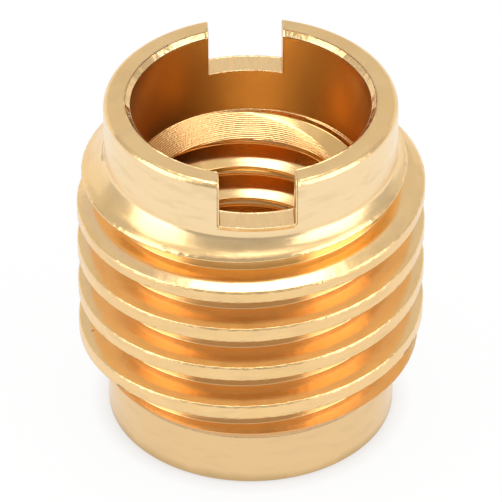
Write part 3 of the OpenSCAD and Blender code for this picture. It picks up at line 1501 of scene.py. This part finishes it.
@dataclass(frozen=True)
class BoredBrass:
    """The bore: a smooth tapped thread, a ringed countersink and a dull counterbore.

    The countersink lies where z less r is cone_lift. Its rings are lines that
    drift a little, under a fine grain. The counterbore's wall is rougher and
    painted darker as painted shade, darker still at its sides, and has a
    faint upright ripple.
    """

    name: str = "bored_brass"
    color: Rgba = (0.93, 0.64, 0.31, 1.0)
    deep: Rgba = (0.90, 0.56, 0.22, 1.0)
    cloud: Mottle = Mottle(0.6, 3.0)
    cloud_span: Span = (0.3, 0.7)
    cone: Rgba = (0.80, 0.50, 0.22, 1.0)
    cone_lift: float = 6.1775
    cone_half: Span = (0.02, 0.07)
    cone_z: Span = (9.9, 10.0)
    # Painted shade: the counterbore's wall is painted darker than the brass, and darker still at
    # its sides.
    wall: Rgba = (0.80, 0.45, 0.14, 1.0)
    painted_side_shade: Rgba = (0.70, 0.39, 0.12, 1.0)
    painted_side_shade_x: Span = (1.2, 3.6)
    wall_z: Span = (10.99, 11.03)
    thread_roughness: float = 0.13
    cone_roughness: float = 0.2
    wall_roughness: float = 0.28
    line_lean: float = 0.8
    line_rate: float = 10.0
    line_depth: float = 0.0075
    drift: Marks = Marks(lean=0.8, along=0.25, across=1.5)
    drift_turn: float = 3.0
    rings: Marks = Marks(lean=0.8, along=0.1, across=9.0, detail=3.0, depth=0.004)
    thread_ring_depth: float = 0.001
    ripple_rate: float = 210.0
    ripple_lean: float = 30.0
    ripple_depth: float = 0.0022
    grain: Mottle = Mottle(9.0, 3.0, depth=0.013)

    def normal(self, t: BrassTree, on_cone: Socket, on_wall: Socket) -> Socket:
        """Lays the countersink's lines and grain, the rings and the ripple.

        Args:
            t: the material's nodes.
            on_cone: 1 on the countersink.
            on_wall: 1 on the counterbore's wall.

        Returns:
            The bumped normal.
        """
        drift = t.times(t.marks(self.drift), self.drift_turn)
        across = t.scaled(t.r, self.line_lean, t.z)
        lines = t.wave(t.scaled(across, TURN * self.line_rate, drift))
        normal = t.bump(lines, t.times(on_cone, self.line_depth))
        plain = t.math("MAXIMUM", on_cone, on_wall)
        ring_depth = t.scaled(plain, self.rings.depth, self.thread_ring_depth)
        normal = t.bump(t.marks(self.rings), ring_depth, normal)
        turn = t.math("ARCTAN2", t.y, t.x)
        ripple = t.wave(t.scaled(turn, self.ripple_rate, t.times(t.z, self.ripple_lean)))
        normal = t.bump(ripple, t.times(on_wall, self.ripple_depth), normal)
        return t.bump(t.mottle(self.grain), t.times(on_cone, self.grain.depth), normal)

    def material(self) -> bpy.types.Material:
        """Builds the material.

        Returns:
            The material.
        """
        t = BrassTree(self.name)
        lift = t.math("SUBTRACT", t.z, t.r)
        away = t.math("ABSOLUTE", t.math("SUBTRACT", lift, self.cone_lift))
        on_cone = t.times(t.step(away, self.cone_half, FALL), t.step(t.z, self.cone_z))
        on_wall = t.step(t.z, self.wall_z)
        color = t.mix(t.step(t.mottle(self.cloud), self.cloud_span), self.color, self.deep)
        color = t.mix(on_cone, color, self.cone)
        # Painted shade on the counterbore's wall, darker towards its sides.
        side_shade_share = t.step(t.math("ABSOLUTE", t.x), self.painted_side_shade_x)
        color = t.mix(on_wall, color, t.mix(side_shade_share, self.wall, self.painted_side_shade))
        rough = self.thread_roughness
        for share, roughness in ((on_cone, self.cone_roughness), (on_wall, self.wall_roughness)):
            rough = t.scaled(share, roughness - self.thread_roughness, rough)
        return t.finish(color, rough, self.normal(t, on_cone, on_wall))


@dataclass(frozen=True)
class MilledBrass:
    """The driving slot: sawn brass with straight streaks along the slot, and burrs on edges."""

    name: str = "milled_brass"
    color: Rgba = (0.93, 0.66, 0.34, 1.0)
    tinge: Rgba = (0.91, 0.61, 0.29, 1.0)
    roughness: Span = (0.24, 0.38)
    rough_span: Span = (0.3, 0.7)
    streak_along: float = 0.7
    streak_across: float = 8.0
    streak_detail: float = 3.0
    streak_depth: float = 0.008
    burrs: Mottle = Mottle(7.0, depth=0.05)

    def material(self) -> bpy.types.Material:
        """Builds the material.

        Returns:
            The material.
        """
        t = BrassTree(self.name)
        rates = (self.streak_across, self.streak_along, self.streak_across)
        place = [t.times(side, rate) for side, rate in zip((t.x, t.y, t.z), rates)]
        place = t.add("ShaderNodeCombineXYZ", dict(enumerate(place)))
        streaks = t.noise(place, 1.0, self.streak_detail)
        color = t.mix(streaks, self.color, self.tinge)
        rough = t.step(streaks, self.rough_span, self.roughness)
        normal = t.bump(streaks, self.streak_depth)
        burrs = t.times(t.mottle(self.burrs), t.wear())
        return t.finish(color, rough, t.bump(burrs, self.burrs.depth, normal))


def outwards(azimuth: float, elevation: float) -> Vector:
    """Unit vector out from the origin.

    Args:
        azimuth: degrees from the front, towards the right.
        elevation: degrees up from level.

    Returns:
        The sine of the azimuth and less its cosine, both times the cosine of
        the elevation, and the elevation's sine.
    """
    turn, tilt = math.radians(azimuth), math.radians(elevation)
    level = math.cos(tilt)
    return Vector((math.sin(turn) * level, -math.cos(turn) * level, math.sin(tilt)))


@dataclass(frozen=True)
class Card:
    """A glowing grey card round the insert that only its reflections see.

    Azimuths run from the front, towards the right, and elevations from level,
    both in degrees. The distance is in metres. The grey is the card's
    brightness, where white is 1.
    """

    name: str
    azimuth: Span
    elevation: Span
    grey: float
    distance: float = 0.8
    columns: int = 33
    rows: int = 13

    def build(self) -> None:
        """Makes the card, as a patch of a sphere round the origin."""
        turn = np.radians(np.linspace(*self.azimuth, self.columns))[None, :]
        tilt = np.radians(np.linspace(*self.elevation, self.rows))[:, None]
        level = np.cos(tilt)
        height = np.sin(tilt) + 0 * turn
        points = np.stack([np.sin(turn) * level, -np.cos(turn) * level, height], -1)
        index = np.arange(self.rows * self.columns).reshape(self.rows, self.columns)
        quads = np.stack([index[:-1, :-1], index[1:, :-1], index[1:, 1:], index[:-1, 1:]], -1)
        mesh = bpy.data.meshes.new(self.name)
        points = points.reshape(-1, 3) * self.distance
        mesh.from_pydata(points, [], quads.reshape(-1, 4).tolist())
        card = add_object(self.name, mesh)
        card.visible_camera = card.visible_diffuse = card.visible_shadow = False
        material = bpy.data.materials.new(self.name)
        tree = Tree(material)
        tree.nodes.remove(tree.nodes["Principled BSDF"])
        glow = tree.add("ShaderNodeEmission", {"Color": (self.grey, self.grey, self.grey, 1.0)})
        tree.feed(tree.nodes["Material Output"].inputs["Surface"], glow)
        mesh.materials.append(material)


@dataclass(frozen=True)
class Lamp:
    """A soft lamp, placed by its angles in degrees. Its lengths are in metres."""

    name: str
    azimuth: float
    elevation: float
    distance: float
    width: float
    height: float
    power: float
    shape: str = "RECTANGLE"

    def build(self) -> None:
        """Makes the lamp, facing the insert."""
        out = outwards(self.azimuth, self.elevation)
        light = bpy.data.lights.new(self.name, "AREA")
        light.shape = self.shape
        light.size, light.size_y = self.width, self.height
        light.energy = self.power
        lamp = add_object(self.name, light)
        lamp.location = out * self.distance
        lamp.rotation_euler = (-out).to_track_quat("-Z", "Y").to_euler()


@dataclass(frozen=True)
class Studio:
    """A pale table in a white room, with soft lamps and grey cards.

    The camera, metal and glass see the room as white, and the floor as
    floor_white of the way to white. That share is none up to the first of the
    distances floor_clear from the origin, in metres, and full past the second,
    so that the floor under the bore keeps its shade. All other light sees the
    room and the floor as they are.
    """

    floor_half: float = 1.5
    floor_color: Place = (0.82, 0.82, 0.82)
    floor_roughness: float = 0.4
    floor_white: float = 0.93
    floor_clear: Span = (0.004, 0.0066)
    room_light: float = 0.65
    lamps: tuple[Lamp, ...] = (
        Lamp("left_lamp", -75, 23, distance=0.5, width=0.3, height=0.52, power=0.84),
        Lamp("right_lamp", 61, 24, distance=0.5, width=0.42, height=0.56, power=1.25),
        Lamp("top_lamp", -143, 87.5, 0.6, width=0.44, height=0.44, power=1.5, shape="DISK"),
    )
    cards: tuple[Card, ...] = (
        Card("front_card", (-50, 38), (0, 40), grey=0.5),
        Card("front_high_card", (-50, 38), (40, 58), grey=0.6),
        Card("left_side_card", (-122, -90), (-2, 58), grey=0.65),
        Card("right_side_card", (86, 118), (-2, 58), grey=0.6),
        Card("back_card", (118, 238), (18, 58), grey=0.77),
        Card("ceiling_card", (-180, 180), (58, 90), grey=0.78),
    )

    def build(self) -> None:
        """Makes the floor, the room, the lamps and the cards."""
        self.floor()
        self.room()
        for item in (*self.lamps, *self.cards):
            item.build()

    def floor(self) -> None:
        """Makes the floor, which shows as white with the insert's soft shadow."""
        mesh = bpy.data.meshes.new("floor")
        h = self.floor_half
        mesh.from_pydata([(-h, -h, 0), (h, -h, 0), (h, h, 0), (-h, h, 0)], [], [(0, 1, 2, 3)])
        floor = add_object("floor", mesh)
        material = bpy.data.materials.new("pale_table")
        tree = Tree(material)
        shader = tree.nodes["Principled BSDF"]
        shader.inputs["Base Color"].default_value = (*self.floor_color, 1.0)
        shader.inputs["Roughness"].default_value = self.floor_roughness
        place = tree.add("ShaderNodeTexCoord", output="Object")
        away = tree.vector("LENGTH", place, output="Value")
        grown = tree.map_range(away, self.floor_clear, (0.0, self.floor_white))
        white = tree.add("ShaderNodeEmission")
        share = tree.times(tree.seen_rays(), grown)
        mixed = tree.add("ShaderNodeMixShader", {0: share, 1: shader.outputs["BSDF"], 2: white})
        tree.feed(tree.nodes["Material Output"].inputs["Surface"], mixed)
        mesh.materials.append(material)

    def room(self) -> None:
        """Makes the world, white where it is seen and soft where it lights."""
        world = bpy.data.worlds.new("studio")
        bpy.context.scene.world = world
        tree = Tree(world)
        back = tree.nodes["Background"]
        back.inputs["Color"].default_value = (1, 1, 1, 1)
        strength = tree.map_range(tree.seen_rays(), (0.0, 1.0), (self.room_light, 1.0))
        tree.feed(back.inputs["Strength"], strength)


@dataclass(frozen=True)
class Shot:
    """The camera: its angles in degrees, and its distance, aim and sensor in millimetres."""

    azimuth: float = -2.6
    elevation: float = 37.05
    distance: float = 267.2
    aim_z: float = 7.355
    aim_side: float = 0.008
    focal_px: float = 6604.6
    image_px: int = 502
    sensor: float = 36.0
    clip_metres: Span = (0.01, 20.0)

    def build(self) -> None:
        """Makes the scene's camera."""
        back = outwards(self.azimuth, self.elevation)
        side = outwards(self.azimuth + 90, 0)
        data = bpy.data.cameras.new("camera")
        data.sensor_width = self.sensor
        data.lens = self.focal_px / self.image_px * self.sensor
        data.clip_start, data.clip_end = self.clip_metres
        camera = add_object("camera", data)
        aim = Vector((0, 0, self.aim_z * MM)) + side * self.aim_side * MM
        camera.location = aim + back * self.distance * MM
        camera.rotation_mode = "QUATERNION"
        camera.rotation_quaternion = (-back).to_track_quat("-Z", "Y")
        bpy.context.scene.camera = camera


def main() -> None:
    """Builds the insert, its finishes, the studio and the camera."""
    logging.basicConfig(level=logging.INFO, format="%(name)s: %(message)s")
    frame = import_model()
    sizes = InsertSizes.from_frame(frame["record"])
    body = InsertBody(sizes)
    body.build()
    insert = body.to_object("turned_insert")
    for finish in (TurnedBrass(), BoredBrass(), MilledBrass()):
        insert.data.materials.append(finish.material())
    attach(insert, "root")
    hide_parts(NODE)
    Studio().build()
    Shot().build()
    bpy.context.scene.view_settings.view_transform = "Standard"


if __name__ == "__main__":
    main()
